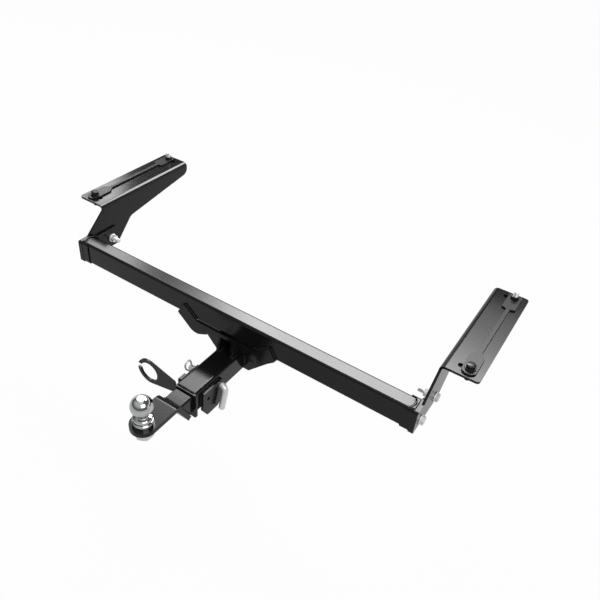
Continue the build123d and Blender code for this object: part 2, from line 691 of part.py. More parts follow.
# Bolt and stud through each flange and insert plate
def flange_fasteners():
    front = along_z(BOLT_X, FLANGE_FRONT_Y + FRONT_BOLT_Y, 0)
    rear = along_z(BOLT_X, FLANGE_FRONT_Y + REAR_STUD_Y, 0)
    pad_top = FLANGE_TOP_Z + INSERT_T
    head_low = pad_top + WASHER_T
    nut_top = FLANGE_BOTTOM_Z - WASHER_T
    bolt = threaded_rod(front, BOLT_D, nut_top - NUT_H - THREAD_PROUD, head_low)
    bolt += hexagon(front, HEAD_AF, head_low, head_low + HEAD_H)
    nut = hexagon(front, NUT_AF, nut_top - NUT_H, nut_top, chamfer_bottom=True)
    nut -= rod(front, BOLT_D, nut_top - NUT_H, nut_top)
    # The stud's shank is reduced to the thread's pitch diameter up to the thin nut's top
    thin_top = pad_top + THIN_NUT_H
    thin_nut = hexagon(rear, NUT_AF, pad_top, thin_top)
    thin_nut -= rod(rear, THREAD_PITCH_D, pad_top, thin_top)
    stud = rod(rear, THREAD_PITCH_D, nut_top, thin_top)
    stud += threaded_rod(rear, BOLT_D, thin_top, pad_top + STUD_PROUD, False, True)
    stud += hexagon(rear, HEAD_AF, nut_top - HEAD_H, nut_top, chamfer_top=False, chamfer_bottom=True)
    washers = [
        washer(front, WASHER_D, BOLT_HOLE_D, pad_top, head_low),
        washer(front, WASHER_D, BOLT_HOLE_D, nut_top, FLANGE_BOTTOM_Z),
        washer(rear, WASHER_D, BOLT_HOLE_D, nut_top, FLANGE_BOTTOM_Z),
    ]
    return bolt, stud, nut, thin_nut, washers


def group_pair(solids):
    """Right-hand solids and their mirror images in one group."""
    mirrored = [mirror(solid, Plane.YZ) for solid in solids]
    return Compound(children=[solid.solid() for solid in list(solids) + mirrored])


keep("coupling_ball", coupling_ball())
keep("ball_plate", ball_plate())
ball_axis = along_z(0, 0, PLATE_TOP_Z - STRIP_T)
keep("ball_washer", washer(ball_axis, BALL_WASHER_D, STEM_D, -BALL_WASHER_T, 0))
nut_low = -BALL_WASHER_T - BALL_NUT_H
ball_nut = hexagon(ball_axis, BALL_NUT_AF, nut_low, -BALL_WASHER_T, chamfer_bottom=True)
keep("ball_nut", ball_nut - rod(ball_axis, STEM_D, nut_low, -BALL_WASHER_T))
keep("tongue_bar", tongue_bar())

keep("receiver_tube", receiver_tube())
keep("right_receiver_lug", side_lug())
keep("left_receiver_lug", left_lug())
keep("socket_plate", socket_plate())
keep("rear_plate", rear_plate())
keep("front_plate", front_plate())
keep_pair("riser_plate", riser_plate())

keep("cross_beam", cross_beam())
keep_pair("end_cap", end_cap())
keep_pair("end_plate", end_plate())
keep_pair("side_bracket", side_bracket())
keep_pair("insert_plate", insert_plate())

keep("hitch_pin", hitch_pin())
keep("pin_clip", pin_clip())

side_bolts, side_washers, side_nuts = side_fasteners()
keep("side_bolts", group_pair(side_bolts))
keep("side_washers", group_pair(side_washers))
keep("side_nuts", group_pair(side_nuts))

flange_bolt, flange_stud, flange_nut, thin_nut, flange_washers = flange_fasteners()
keep("flange_bolts", group_pair([flange_bolt]))
keep("flange_studs", group_pair([flange_stud]))
keep("flange_nuts", group_pair([flange_nut]))
keep("stud_nuts", group_pair([thin_nut]))
keep("flange_washers", group_pair(flange_washers))

os.makedirs("parts", exist_ok=True)
for node, shape in parts.items():
    export_step(shape, f"parts/{node}.step")
    print(node, round(shape.volume / 1000, 1), "cm3")
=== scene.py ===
"""Looks of a bolted trailer hitch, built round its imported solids.

The row frame is in metres: X along the cross beam, +Y towards the vehicle's front, +Z up,
and the origin at the centre of the coupling ball. Sizes in the classes are millimetres,
apart from the finishes' and the studio's, which are metres.
"""

from __future__ import annotations

import json
import logging
import math
from dataclasses import dataclass, field
from enum import Enum
from typing import Sequence

import bmesh
import bpy
import numpy as np
from mathutils import Matrix, Vector

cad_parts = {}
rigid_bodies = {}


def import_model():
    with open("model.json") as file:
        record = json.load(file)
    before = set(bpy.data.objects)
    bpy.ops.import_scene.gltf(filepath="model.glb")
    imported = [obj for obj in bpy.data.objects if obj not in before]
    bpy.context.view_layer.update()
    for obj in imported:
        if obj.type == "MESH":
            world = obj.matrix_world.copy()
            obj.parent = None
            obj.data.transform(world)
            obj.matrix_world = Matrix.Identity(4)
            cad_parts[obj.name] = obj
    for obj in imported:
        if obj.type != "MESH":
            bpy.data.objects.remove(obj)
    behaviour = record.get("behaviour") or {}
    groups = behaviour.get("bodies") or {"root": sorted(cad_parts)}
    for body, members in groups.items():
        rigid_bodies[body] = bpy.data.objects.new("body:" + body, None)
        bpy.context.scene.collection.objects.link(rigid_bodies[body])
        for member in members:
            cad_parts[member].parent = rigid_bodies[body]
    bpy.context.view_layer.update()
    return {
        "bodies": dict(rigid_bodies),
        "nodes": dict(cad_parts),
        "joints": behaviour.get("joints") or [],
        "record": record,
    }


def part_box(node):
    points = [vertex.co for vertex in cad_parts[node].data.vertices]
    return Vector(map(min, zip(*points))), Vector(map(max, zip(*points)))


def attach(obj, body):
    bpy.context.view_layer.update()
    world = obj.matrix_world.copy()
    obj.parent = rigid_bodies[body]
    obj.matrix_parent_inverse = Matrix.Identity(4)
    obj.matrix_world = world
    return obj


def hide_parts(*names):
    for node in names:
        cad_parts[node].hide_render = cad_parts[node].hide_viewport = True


LOG = logging.getLogger("trailer_hitch")
MM = 0.001
SHARP_ANGLE = math.radians(38)
NEARLY_STRAIGHT = 0.01
TINY = 1e-6
Point = Sequence[float]
Pair = tuple[float, float]
Triple = tuple[float, float, float]


class Slot(Enum):
    """Material slots of the record."""

    PAINT = "black_paint"
    ZINC = "zinc_plate"
    DARK = "black_hardware"
    CHROME = "chrome"


class Side(Enum):
    """The two ends of the cross beam."""

    RIGHT = 1
    LEFT = -1


class Axis(Enum):
    """Directions that a fastener can point in, along its shank towards its head."""

    PLUS_X = (1.0, 0.0, 0.0)
    MINUS_X = (-1.0, 0.0, 0.0)
    PLUS_Z = (0.0, 0.0, 1.0)
    MINUS_Z = (0.0, 0.0, -1.0)


def on_side(side: Side, point: Point) -> Triple:
    """A point of the right side, or its mirror image on the left."""
    return (side.value * point[0], point[1], point[2])


# Shapes: closed surfaces on grids of two parameters


@dataclass
class Shape:
    """A mesh under construction: grids of points, gathered in millimetres."""

    points: list[np.ndarray] = field(default_factory=list)
    faces: list[np.ndarray] = field(default_factory=list)
    count: int = 0

    def add_grid(self, grid: np.ndarray, wrap_u: bool = False, wrap_v: bool = True) -> None:
        """Adds quads between neighbouring points of a grid.

        Args:
            grid: points in rows and columns, shape (rows, columns, 3).
            wrap_u: joins the last row to the first.
            wrap_v: joins the last column to the first.
        """
        rows, columns = grid.shape[:2]
        index = self.count + np.arange(rows * columns).reshape(rows, columns)
        if wrap_u:
            index = np.vstack([index, index[:1]])
        if wrap_v:
            index = np.hstack([index, index[:, :1]])
        corners = [index[:-1, :-1], index[:-1, 1:], index[1:, 1:], index[1:, :-1]]
        self.points.append(grid.reshape(-1, 3))
        self.faces.append(np.stack(corners, axis=-1).reshape(-1, 4))
        self.count += rows * columns

    def add(self, other: Shape, frame: Matrix | None = None) -> None:
        """Adds another shape's grids, moved by a frame.

        Args:
            other: the shape to add.
            frame: where the other shape's origin and axes go, in millimetres.
        """
        move = np.array(frame or Matrix.Identity(4))
        for points, faces in zip(other.points, other.faces_from_zero()):
            self.points.append(points @ move[:3, :3].T + move[:3, 3])
            self.faces.append(faces + self.count)
            self.count += len(points)

    def faces_from_zero(self) -> list[np.ndarray]:
        """Face indices of each grid, counted from that grid's first point."""
        starts = np.cumsum([0] + [len(p) for p in self.points[:-1]])
        return [f - s for f, s in zip(self.faces, starts)]

    def build(self, name: str, weld: float = 1e-6) -> bpy.types.Object:
        """Makes the Blender object, closes seams and poles and points the faces outwards.

        Args:
            name: the object's name.
            weld: distance in metres under which points become one.

        Returns:
            The linked object, smooth shaded, at the origin.
        """
        co = np.vstack(self.points) * MM
        quads = np.vstack(self.faces)
        mesh = bpy.data.meshes.new(name)
        mesh.vertices.add(len(co))
        mesh.vertices.foreach_set("co", co.ravel())
        mesh.loops.add(quads.size)
        mesh.loops.foreach_set("vertex_index", quads.ravel().astype(np.int32))
        mesh.polygons.add(len(quads))
        mesh.polygons.foreach_set("loop_start", np.arange(0, quads.size, 4, dtype=np.int32))
        mesh.update(calc_edges=True)
        work = bmesh.new()
        work.from_mesh(mesh)
        bmesh.ops.remove_doubles(work, verts=work.verts, dist=weld)
        bmesh.ops.recalc_face_normals(work, faces=work.faces)
        work.to_mesh(mesh)
        work.free()
        mesh.shade_smooth()
        mesh.set_sharp_from_angle(angle=SHARP_ANGLE)
        piece = bpy.data.objects.new(name, mesh)
        bpy.context.scene.collection.objects.link(piece)
        return piece


def full_turn(sides: int) -> np.ndarray:
    """Angles in equal steps once round, the start not repeated at the end."""
    return np.linspace(0, 2 * math.pi, sides, endpoint=False)


def round_z(radius: np.ndarray, height: np.ndarray, ring: bool = False) -> Shape:
    """A closed surface round the Z axis, from rows of radii.

    The point of a row at angle t is (radius cos t, radius sin t, height).

    Args:
        radius: radii, shape (rows, sides).
        height: each row's height, shape (rows,).
        ring: joins the last row to the first, for a shape with a hole.

    Returns:
        The shape.
    """
    angle = full_turn(radius.shape[1])
    tall = np.broadcast_to(height[:, None], radius.shape)
    shape = Shape()
    grid = np.stack([radius * np.cos(angle), radius * np.sin(angle), tall], axis=-1)
    shape.add_grid(grid, wrap_u=ring)
    return shape


def turned(profile: np.ndarray, sides: int = 96, ring: bool = False) -> Shape:
    """A profile of (radius, height) points turned once round the Z axis.

    Args:
        profile: points from pole to pole, or round a ring's section, its start not repeated.
        sides: steps round the axis.
        ring: closes the profile on itself.

    Returns:
        The turned shape.
    """
    return round_z(np.repeat(profile[:, :1], sides, axis=1), profile[:, 1], ring)


def rounded(corners: np.ndarray, radii: Sequence[float], steps: int = 8) -> np.ndarray:
    """A line through corners, each corner rounded by an arc that touches both its sides.

    At a corner with unit directions a back and b on, and half angle h between them, the arc
    starts radius / tan(h) back along a, and its centre lies radius / sin(h) along a + b.

    Args:
        corners: points, shape (n, dimensions).
        radii: one radius for each inner corner; 0 leaves it sharp.
        steps: arc steps at each rounded corner.

    Returns:
        The points of the rounded line, ends included.
    """
    pieces = [corners[:1]]
    for before, corner, after, radius in zip(corners[:-2], corners[1:-1], corners[2:], radii):
        back = (before - corner) / np.linalg.norm(before - corner)
        on = (after - corner) / np.linalg.norm(after - corner)
        half = math.acos(float(np.clip(back @ on, -1, 1))) / 2
        if radius == 0 or half > math.pi / 2 - NEARLY_STRAIGHT:
            pieces.append(corner[None, :])
            continue
        middle = (back + on) / np.linalg.norm(back + on)
        centre = corner + middle * radius / math.sin(half)
        start = corner + back * radius / math.tan(half) - centre
        end = corner + on * radius / math.tan(half) - centre
        turn = math.acos(float(np.clip(start @ end / radius**2, -1, 1)))
        share = np.linspace(0, 1, steps + 1)[:, None]
        arc = (np.sin((1 - share) * turn) * start + np.sin(share * turn) * end) / math.sin(turn)
        pieces.append(centre + arc)
    pieces.append(corners[-1:])
    return np.vstack(pieces)


def spaced(line: np.ndarray, step: float) -> np.ndarray:
    """Points at equal distances along a line.

    Args:
        line: points, shape (n, 3).
        step: the distance wanted; the one kept divides the line's length evenly.

    Returns:
        The new points, both ends included.
    """
    length = np.concatenate([[0], np.cumsum(np.linalg.norm(np.diff(line, axis=0), axis=1))])
    places = np.linspace(0, length[-1], max(2, int(length[-1] / step)) + 1)
    return np.stack([np.interp(places, length, line[:, k]) for k in range(line.shape[1])], axis=1)


def hexagonal(
    across_flats: float, low: float, high: float, bore: float = 0.0,
    both_ends: bool = False, sides: int = 72, face_share: float = 0.97, cone_rows: int = 6,
) -> Shape:
    """A hexagonal head or nut along Z, its corners turned off at 30 degrees.

    At angle t the hexagon's radius is (across_flats / 2) / cos(u), where u is t folded into
    30 degrees either side of the nearest flat, and the radius at height z is the smaller of
    that and a cone that starts just inside the flats at the chamfered end.

    Args:
        across_flats: distance between opposite flats.
        low: height of the lower end.
        high: height of the upper end.
        bore: radius of the hole through it, 0 for none.
        both_ends: turns the lower corners off too.
        sides: steps round the axis.
        face_share: radius of the round end face, as a share of the distance to the flats.
        cone_rows: rows of points on each cone.

    Returns:
        The closed shape.
    """
    flat_r, twelfth = across_flats / 2, math.pi / 6
    face_r = flat_r * face_share
    folded = (full_turn(sides) + twelfth) % (2 * twelfth) - twelfth
    hexagon = flat_r / np.cos(folded)
    drop = (flat_r / math.cos(twelfth) - face_r) * math.tan(twelfth)
    rise = np.linspace(0, drop, cone_rows)
    height = np.unique(np.concatenate([low + rise, high - rise]))
    slope = 1 / math.tan(twelfth)
    cone = face_r + (high - height) * slope
    if both_ends:
        cone = np.minimum(cone, face_r + (height - low) * slope)
    wall = np.full((1, sides), bore)
    radius = np.vstack([wall, np.minimum(hexagon[None, :], cone[:, None]), wall])
    return round_z(radius, np.concatenate([[low], height, [high]]), ring=bore > 0)


@dataclass(frozen=True)
class Thread:
    """An outer thread: its radius and pitch, and the form of its groove."""

    radius: float
    pitch: float
    depth_share: float = 0.36
    rows_per_turn: int = 8
    flank: float = 1.6
    crest: float = 0.3
    runout: float = 0.98

    def rod(self, low: float, high: float, plain: float, sides: int = 40) -> Shape:
        """A threaded rod along Z from low to high, with a plain length at its high end.

        The radius at angle t and height z is radius - depth * w, where w is a triangle wave
        of z / pitch - t / 2 pi with its tips cut off, and the free end is a short cone.

        Args:
            low: height of the free end.
            high: height of the other end.
            plain: length without thread at the high end.
            sides: steps round the axis.

        Returns:
            The closed shape.
        """
        depth = self.depth_share * self.pitch
        rows = int((high - plain - low) / self.pitch * self.rows_per_turn)
        shank = [high - plain * self.runout, high]
        height = np.concatenate([np.linspace(low, high - plain, rows), shank])
        turns = height[:, None] / self.pitch - full_turn(sides) / (2 * math.pi)
        wave = np.abs(turns % 1 - 0.5) * 2
        cut = np.clip(self.flank * wave - self.crest, 0, 1) * depth
        cut[-len(shank):] = 0
        cone = self.radius - depth + (height[:, None] - low)
        pole = np.zeros((1, sides))
        radius = np.vstack([pole, np.minimum(self.radius - cut, cone), pole])
        return round_z(radius, np.concatenate([[low], height, [high]]))


def washer(
    outer: float, hole: float, low: float, high: float,
    rim: Pair = (0.4, 0.3), rim_steps: int = 3, sides: int = 64,
) -> Shape:
    """A flat ring along Z with slightly rounded rims.

    Args:
        outer: its outer radius.
        hole: the hole's radius.
        low: height of its lower face.
        high: height of its upper face.
        rim: rounding of its outer edges and of the hole's edges.
        rim_steps: arc steps at each edge.
        sides: steps round the axis.

    Returns:
        The closed shape.
    """
    corners = np.array([(hole, low), (outer, low), (outer, high), (hole, high)])
    middle = (corners[:1] + corners[1:2]) / 2
    line = np.vstack([middle, corners[1:], corners[:1], middle])
    section = rounded(line, [rim[0], rim[0], rim[1], rim[1]], rim_steps)
    return turned(section[:-1], sides, ring=True)


def shade_slot_plate(
    reach: Triple, hole: float, thickness: float, sides: int = 96, corner_share: float = 0.93,
) -> Shape:
    """A flat plate along Z with a round hole, standing on height 0.

    At angle t its outline's radius is the nearest of its four sides, each at its reach divided
    by the cosine of the angle to that side, and of two arcs that cut its corners.

    Args:
        reach: distances from the hole's axis to the sides at +X, -X and +-Y.
        hole: the hole's radius.
        thickness: the plate's thickness.
        sides: steps round the hole.
        corner_share: what the arcs leave of the distance to the nearer corners.

    Returns:
        The closed shape.
    """
    ahead, back, wide = reach
    angle = full_turn(sides)
    along, over = np.cos(angle), np.abs(np.sin(angle))
    far = np.where(along > 0, ahead, back)
    near = min(ahead, back)
    to_ends = far / np.maximum(np.abs(along), TINY)
    to_edges = wide / np.maximum(over, TINY)
    to_corners = corner_share * math.hypot(near, wide) + far - near
    outline = np.minimum(np.minimum(to_ends, to_edges), to_corners)
    wall = np.full(sides, hole)
    radius = np.stack([wall, outline, outline, wall])
    return round_z(radius, np.array([0.0, 0.0, thickness, thickness]), ring=True)


def carried(path: np.ndarray, radii: np.ndarray, normal: Point, sides: int = 24) -> Shape:
    """A round section carried along a flat path.

    With T the path's direction, N its plane's normal and B = T x N, the point at angle t is
    path + radius (cos t N + sin t B). The ends close to a point where their radius is 0.

    Args:
        path: points, shape (n, 3).
        radii: the section's radius at each point, shape (n,) or (n, sides).
        normal: normal of the plane that holds the path.
        sides: steps round the section.

    Returns:
        The carried shape.
    """
    ahead = np.roll(path, -1, axis=0) - np.roll(path, 1, axis=0)
    ahead[0], ahead[-1] = path[1] - path[0], path[-1] - path[-2]
    tangent = ahead / np.linalg.norm(ahead, axis=1, keepdims=True)
    plane_n = np.array(normal, float) / np.linalg.norm(normal)
    across = np.cross(tangent, plane_n)
    angle = full_turn(sides)[None, :, None]
    side = np.cos(angle) * plane_n + np.sin(angle) * across[:, None, :]
    radius = (radii[:, None] if radii.ndim == 1 else radii) * np.ones(sides)
    shape = Shape()
    shape.add_grid(path[:, None, :] + radius[..., None] * side)
    return shape


@dataclass(frozen=True)
class WeldBead:
    """A weld run: a half-sunk round bead with the overlapping ripples of its pools."""

    radius: float = 2.8
    pitch: float = 2.2
    ripple: float = 0.09
    lag: float = 1.5
    sway: Pair = (0.06, 0.04)
    sway_length: Pair = (7.3, 3.1)
    sway_start: Pair = (0.0, 1.0)
    rows_per_ripple: int = 5
    sides: int = 14

    def along(self, corners: Sequence[Point], normal: Point) -> Shape:
        """Lays the bead along a flat line.

        The radius at distance s and angle t is r (1 + ripple cos(2 pi s / pitch + lag cos t)),
        times 1 plus two slow waves, share sin(s / length + start). Over one radius at each
        end it falls to nothing, as a quarter circle does.

        Args:
            corners: the line's corners in millimetres.
            normal: normal of the plane that holds the line.

        Returns:
            The bead's shape.
        """
        path = spaced(np.array(corners, float), self.pitch / self.rows_per_ripple)
        run = np.linspace(0, np.linalg.norm(np.diff(path, axis=0), axis=1).sum(), len(path))
        lag = self.lag * np.cos(full_turn(self.sides))
        wave = np.cos(2 * math.pi * run[:, None] / self.pitch + lag)
        slow = np.ones(len(run))
        for share, length, start in zip(self.sway, self.sway_length, self.sway_start):
            slow += share * np.sin(run / length + start)
        reach = np.clip(np.minimum(run, run[-1] - run) / self.radius, 0, 1)
        taper = np.sqrt(np.clip(1 - (1 - reach) ** 2, 0, 1))
        radii = self.radius * (1 + self.ripple * wave) * (slow * taper)[:, None]
        return carried(path, radii, normal, self.sides)


# Finishes


@dataclass(frozen=True)
class NodeGraph:
    """A material's or the world's node tree, with short ways to add to it."""

    tree: bpy.types.NodeTree

    def add(self, kind: str) -> bpy.types.Node:
        """Adds a node of a kind."""
        return self.tree.nodes.new(f"ShaderNode{kind}")

    def link(self, source: bpy.types.NodeSocket, target: bpy.types.NodeSocket) -> None:
        """Links an output to an input."""
        self.tree.links.new(source, target)

    def place(self, kind: str) -> bpy.types.NodeSocket:
        """Texture coordinates of a kind."""
        return self.add("TexCoord").outputs[kind]

    def ramp(self, value: bpy.types.NodeSocket, come: Pair, go: Pair) -> bpy.types.NodeSocket:
        """A value carried from one range to another, and held at its ends.

        Args:
            value: the value.
            come: the range that it comes from.
            go: the range that it goes to.

        Returns:
            The new value.
        """
        span = self.add("MapRange")
        span.inputs["From Min"].default_value, span.inputs["From Max"].default_value = come
        span.inputs["To Min"].default_value, span.inputs["To Max"].default_value = go
        self.link(value, span.inputs["Value"])
        return span.outputs["Result"]

    def combine(
        self, how: str, first: bpy.types.NodeSocket, second: bpy.types.NodeSocket | float,
    ) -> bpy.types.NodeSocket:
        """Two values joined by a Math node's operation.

        Args:
            how: the operation.
            first: the first value.
            second: the second value, or a number.

        Returns:
            The joined value.
        """
        joined = self.add("Math")
        joined.operation = how
        self.link(first, joined.inputs[0])
        if isinstance(second, float):
            joined.inputs[1].default_value = second
        else:
            self.link(second, joined.inputs[1])
        return joined.outputs[0]

    def noise(self, scale: float, detail: float) -> bpy.types.NodeSocket:
        """A noise on Object coordinates.

        Args:
            scale: its waves to the metre, roughly.
            detail: how many finer waves it adds.

        Returns:
            Its value, from 0 to 1.
        """
        texture = self.add("TexNoise")
        texture.inputs["Scale"].default_value = scale
        texture.inputs["Detail"].default_value = detail
        self.link(self.place("Object"), texture.inputs["Vector"])
        return texture.outputs["Fac"]

    def blend(self, value: bpy.types.NodeSocket, low: Triple, high: Triple) -> bpy.types.NodeSocket:
        """A colour that goes from one to another with a value.

        Args:
            value: the value, from 0 to 1.
            low: the colour at 0.
            high: the colour at 1.

        Returns:
            The colour.
        """
        mix = self.add("Mix")
        mix.data_type = "RGBA"
        first, second = [socket for socket in mix.inputs if socket.type == "RGBA"]
        first.default_value, second.default_value = (*low, 1.0), (*high, 1.0)
        self.link(value, mix.inputs[0])
        return next(socket for socket in mix.outputs if socket.type == "RGBA")


@dataclass(frozen=True)
class Finish:
    """A principled shader whose colour and roughness vary in clouds, with a fine bump."""

    name: str
    dark: Triple
    light: Triple
    rough: Pair
    cloud_scale: float
    cloud_detail: float = 3.0
    cloud_range: Pair = (0.3, 0.7)
    metallic: float = 0.0
    specular: float = 0.5
    bump_scale: float = 0.0
    bump_detail: float = 1.0
    bump_depth: float = 0.00002
    bump_strength: float = 0.6
    edge: float = 0.0
    edge_samples: int = 6

    def build(self) -> bpy.types.Material:
        """Makes the material.

        Returns:
            The material, for any number of pieces.
        """
        material = bpy.data.materials.new(self.name)
        material.use_nodes = True
        graph = NodeGraph(material.node_tree)
        shader = material.node_tree.nodes["Principled BSDF"]
        shader.inputs["Metallic"].default_value = self.metallic
        shader.inputs["Specular IOR Level"].default_value = self.specular
        cloud = graph.noise(self.cloud_scale, self.cloud_detail)
        graph.link(graph.blend(cloud, self.dark, self.light), shader.inputs["Base Color"])
        graph.link(graph.ramp(cloud, self.cloud_range, self.rough), shader.inputs["Roughness"])
        if self.bump_scale > 0:
            graph.link(self.relief(graph), shader.inputs["Normal"])
        return material

    def relief(self, graph: NodeGraph) -> bpy.types.NodeSocket:
        """A fine bump, over edges that are rounded in the shading.

        Args:
            graph: the material's node tree.

        Returns:
            The normal.
        """
        bump = graph.add("Bump")
        bump.inputs["Distance"].default_value = self.bump_depth
        bump.inputs["Strength"].default_value = self.bump_strength
        graph.link(graph.noise(self.bump_scale, self.bump_detail), bump.inputs["Height"])
        if self.edge > 0:
            bevel = graph.add("Bevel")
            bevel.samples = self.edge_samples
            bevel.inputs["Radius"].default_value = self.edge
            graph.link(bevel.outputs["Normal"], bump.inputs["Normal"])
        return bump.outputs["Normal"]


@dataclass(frozen=True)
class GlossPaint(Finish):
    """Gloss black paint with a slight orange peel."""

    dark: Triple = (0.005, 0.005, 0.0053)
    light: Triple = (0.010, 0.010, 0.0103)
    rough: Pair = (0.12, 0.17)
    cloud_scale: float = 9.0
    specular: float = 0.30
    bump_scale: float = 300.0
    edge: float = 0.0005


@dataclass(frozen=True)
class SatinPaint(GlossPaint):
    """The same black paint, duller, on the insert plates."""

    dark: Triple = (0.010, 0.010, 0.0105)
    light: Triple = (0.018, 0.018, 0.0185)
    rough: Pair = (0.26, 0.32)


@dataclass(frozen=True)
class ZincPlate(Finish):
    """Bright zinc plating with faint clouding and a fine grain."""

    dark: Triple = (0.88, 0.885, 0.89)
    light: Triple = (0.97, 0.975, 0.98)
    rough: Pair = (0.32, 0.46)
    cloud_scale: float = 160.0
    metallic: float = 0.5
    bump_scale: float = 1400.0
    bump_detail: float = 2.0


@dataclass(frozen=True)
class PolishedChrome(Finish):
    """Chrome plating, polished, with a trace of haze."""

    dark: Triple = (0.60, 0.605, 0.61)
    light: Triple = (0.68, 0.685, 0.69)
    rough: Pair = (0.05, 0.11)
    cloud_scale: float = 60.0
    metallic: float = 1.0


@dataclass(frozen=True)
class DarkSteel(Finish):
    """Dark satin finish of the flange bolts, their washers and the thin nuts."""

    dark: Triple = (0.008, 0.008, 0.009)
    light: Triple = (0.022, 0.022, 0.024)
    rough: Pair = (0.24, 0.34)
    cloud_scale: float = 220.0
    specular: float = 0.34


@dataclass
class Finishes:
    """The object's finishes, made once and shared."""

    made: dict[Slot, bpy.types.Material] = field(default_factory=dict)
    insert_paint: bpy.types.Material | None = None

    def build(self) -> None:
        """Makes every finish."""
        self.made[Slot.PAINT] = GlossPaint("gloss_black_paint").build()
        self.insert_paint = SatinPaint("satin_black_paint").build()
        self.made[Slot.ZINC] = ZincPlate("zinc_plate").build()
        self.made[Slot.CHROME] = PolishedChrome("polished_chrome").build()
        self.made[Slot.DARK] = DarkSteel("black_hardware_finish").build()

    def dress(self, piece: bpy.types.Object, slot: Slot) -> None:
        """Gives a piece one finish."""
        piece.data.materials.clear()
        piece.data.materials.append(self.made[slot])

    def dress_nodes(self, frame: dict) -> None:
        """Gives each CAD node the finish of its slot in the record.
        """
        for part in frame["record"]["subparts"]:
            node = frame["nodes"][part["node"]]
            self.dress(node, Slot(part["material_slot"]))
            if part["node"].endswith("insert_plate"):
                node.data.materials[0] = self.insert_paint


# Sub-assemblies


def standing(at: Point, axis: Axis) -> Matrix:
    """The frame in which a fastener stands: Z along its axis, X square to one of its flats.

    Args:
        at: the fastener's seat, in millimetres.
        axis: the direction from its shank to its head.

    Returns:
        The frame, in millimetres.
    """
    along = Vector(axis.value)
    flat = Vector((1, 0, 0)) if abs(along.z) > 0.5 else Vector((0, 1, 0))
    turn = Matrix((flat, along.cross(flat), along)).transposed().to_4x4()
    return Matrix.Translation(Vector(at)) @ turn


def node_box_mm(node: str) -> tuple[np.ndarray, np.ndarray]:
    """A CAD node's lowest and highest corners in millimetres."""
    low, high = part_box(node)
    return np.array(low) / MM, np.array(high) / MM


@dataclass
class SubAssembly:
    """What every sub-assembly has: the finishes, and a way to place and report a piece."""

    finishes: Finishes

    def place(
        self, shape: Shape, name: str, body: str, slot: Slot, instead_of: str | None = None,
    ) -> None:
        """Builds a shape, dresses it and ties it to its body.

        Args:
            shape: the piece's shape in millimetres.
            name: the piece's name.
            body: the CAD body that it moves with.
            slot: the material slot that it takes its finish from.
            instead_of: the CAD node that it stands for.
        """
        piece = shape.build(name)
        self.finishes.dress(piece, slot)
        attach(piece, body)
        if instead_of:
            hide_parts(instead_of)
        LOG.info("%s on %s: %d points", name, body, len(piece.data.vertices))


